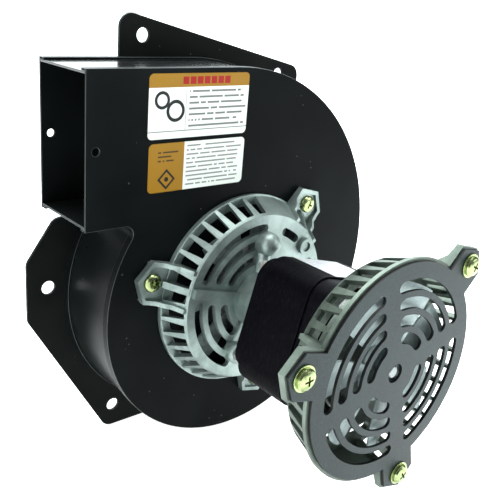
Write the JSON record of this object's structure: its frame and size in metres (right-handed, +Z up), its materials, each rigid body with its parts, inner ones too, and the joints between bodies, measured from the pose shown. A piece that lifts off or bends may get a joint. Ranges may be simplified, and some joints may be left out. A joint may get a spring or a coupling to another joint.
{
  "type": "combustion fan",
  "caption": "Scroll blower with a rectangular outlet, a flat mounting plate, and a shaded pole motor between two vented end castings under a slotted cover.",
  "frame": {"origin": "on the motor axis, in the back face of the mounting plate, at the mouth of the inlet", "axes": "+Z up, +Y out of the inlet towards the appliance, motor along -Y, outlet towards -X"},
  "size_m": [0.2361, 0.1723, 0.2539],
  "materials": {
    "black_paint": "satin black enamel",
    "core_black": "black varnished laminations",
    "cover_grey": "satin grey paint",
    "cast_aluminium": "as cast, tumbled",
    "yellow_zinc": "yellow zinc plate",
    "foil": "printed foil",
    "label_white": "printed film",
    "label_amber": "printed film",
    "copper_wire": "varnished",
    "bare_copper": "polished",
    "bobbin_plastic": "matt",
    "protector_case": "matt",
    "zinc_steel": "zinc plate",
    "bronze": "oil soaked sintered bronze",
    "felt": "felt",
    "shaft_steel": "ground",
    "rotor_steel": "turned laminations",
    "rotor_aluminium": "cast",
    "fibre": "pressed fibre",
    "aluminised_steel": "aluminised sheet",
    "gasket_fibre": "pressed fibre",
    "fan_aluminium": "pressed sheet"
  },
  "bodies": {
    "housing": {"mounting_plate": "black_paint", "scroll_back_plate": "black_paint", "scroll_wrapper": "black_paint", "scroll_front_plate": "black_paint", "inlet_ring": "aluminised_steel", "motor_gasket": "gasket_fibre", "upper_label": "label_white", "lower_label": "label_amber", "front_casting": "cast_aluminium", "front_casting_screws": "yellow_zinc", "rear_casting": "cast_aluminium", "stator_core": "core_black", "coil_bobbins": "bobbin_plastic", "coil_windings": "copper_wire", "shading_rings": "bare_copper", "thermal_protector": "protector_case", "through_bolts": "zinc_steel", "through_bolt_nuts": "zinc_steel", "nameplate": "foil", "front_bearing": "bronze", "rear_bearing": "bronze", "front_felt": "felt", "rear_felt": "felt", "front_bearing_retainer": "zinc_steel", "rear_bearing_retainer": "zinc_steel", "rear_cover": "cover_grey", "rear_cover_screws": "yellow_zinc", "rear_cover_washers": "yellow_zinc"},
    "rotor": {"shaft": "shaft_steel", "rotor_core": "rotor_steel", "rotor_end_rings": "rotor_aluminium", "thrust_washers": "fibre", "retaining_rings": "zinc_steel", "wheel_hub": "aluminised_steel", "wheel_back_plate": "aluminised_steel", "wheel_blades": "aluminised_steel", "wheel_end_ring": "aluminised_steel", "wheel_rivets": "zinc_steel", "wheel_set_screw": "zinc_steel", "front_cooling_fan": "fan_aluminium", "rear_cooling_fan": "fan_aluminium"}
  },
  "joints": [
    {"name": "rotor_spin", "type": "hinge", "parent": "housing", "child": "rotor", "pos_m": [0, -0.08, 0], "axis": [0, -1, 0], "continuous": true}
  ]
}
